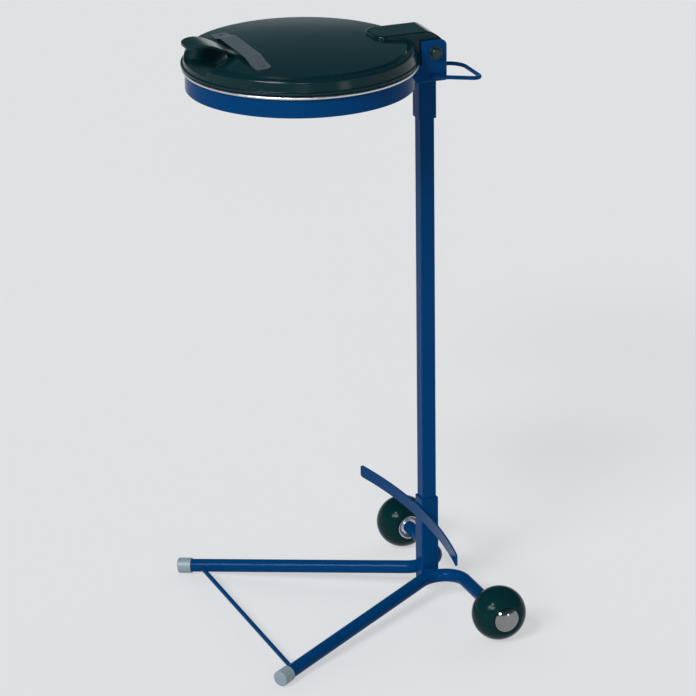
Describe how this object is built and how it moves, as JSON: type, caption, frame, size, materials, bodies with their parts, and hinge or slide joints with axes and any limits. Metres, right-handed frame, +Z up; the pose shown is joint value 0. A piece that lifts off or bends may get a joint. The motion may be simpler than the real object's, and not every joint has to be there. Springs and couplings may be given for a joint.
{
  "type": "waste sack stand",
  "caption": "Wheeled tubular steel stand with a square post, a ring that holds a waste sack and a hinged moulded lid.",
  "frame": {"origin": "middle of the whole plan, on the floor", "axes": "+X along the wheels' axle to the stand's right, -Y to the front where the lid's grip is, +Z up"},
  "size_m": [0.5494, 0.5262, 1.0756],
  "materials": {
    "blue_paint": "glossy dark blue powder paint",
    "lid_plastic": "black, slightly glossy moulding",
    "strap_plastic": "dark grey, satin",
    "black_cap_plastic": "black, satin",
    "grey_plastic": "blue-grey, satin",
    "wheel_rubber": "black, slightly worn",
    "chrome": "bright chrome plating",
    "zinc_steel": "bright zinc plating"
  },
  "bodies": {
    "stand": {"axle_left": "zinc_steel", "axle_right": "zinc_steel", "base_tube_left": "blue_paint", "base_tube_right": "blue_paint", "bolt_caps": "black_cap_plastic", "bolt_washers": "zinc_steel", "bow_bar": "blue_paint", "brace_rod": "blue_paint", "clamp_ring": "zinc_steel", "cup_washer_left": "chrome", "cup_washer_right": "chrome", "foot_cap_left": "grey_plastic", "foot_cap_right": "grey_plastic", "hinge_bolt": "zinc_steel", "hinge_bracket": "blue_paint", "hinge_nut": "zinc_steel", "hub_cap_left": "chrome", "hub_cap_right": "chrome", "lower_sleeve": "blue_paint", "post": "blue_paint", "post_screws": "zinc_steel", "rear_handle": "blue_paint", "ring_band": "blue_paint", "upper_sleeve": "blue_paint"},
    "lid": {"lid": "lid_plastic", "lid_strap": "strap_plastic", "strap_rivets": "strap_plastic"},
    "wheel_right": {"wheel_right": "wheel_rubber"},
    "wheel_left": {"wheel_left": "wheel_rubber"}
  },
  "joints": [
    {"name": "lid_hinge", "type": "hinge", "parent": "stand", "child": "lid", "pos_m": [0, 0.1749, 1.0175], "axis": [-1, 0, 0], "range_deg": [0, 100]},
    {"name": "wheel_right_spin", "type": "hinge", "parent": "stand", "child": "wheel_right", "pos_m": [0.224, 0.2134, 0.048], "axis": [1, 0, 0], "continuous": true},
    {"name": "wheel_left_spin", "type": "hinge", "parent": "stand", "child": "wheel_left", "pos_m": [-0.224, 0.2134, 0.048], "axis": [1, 0, 0], "continuous": true}
  ]
}
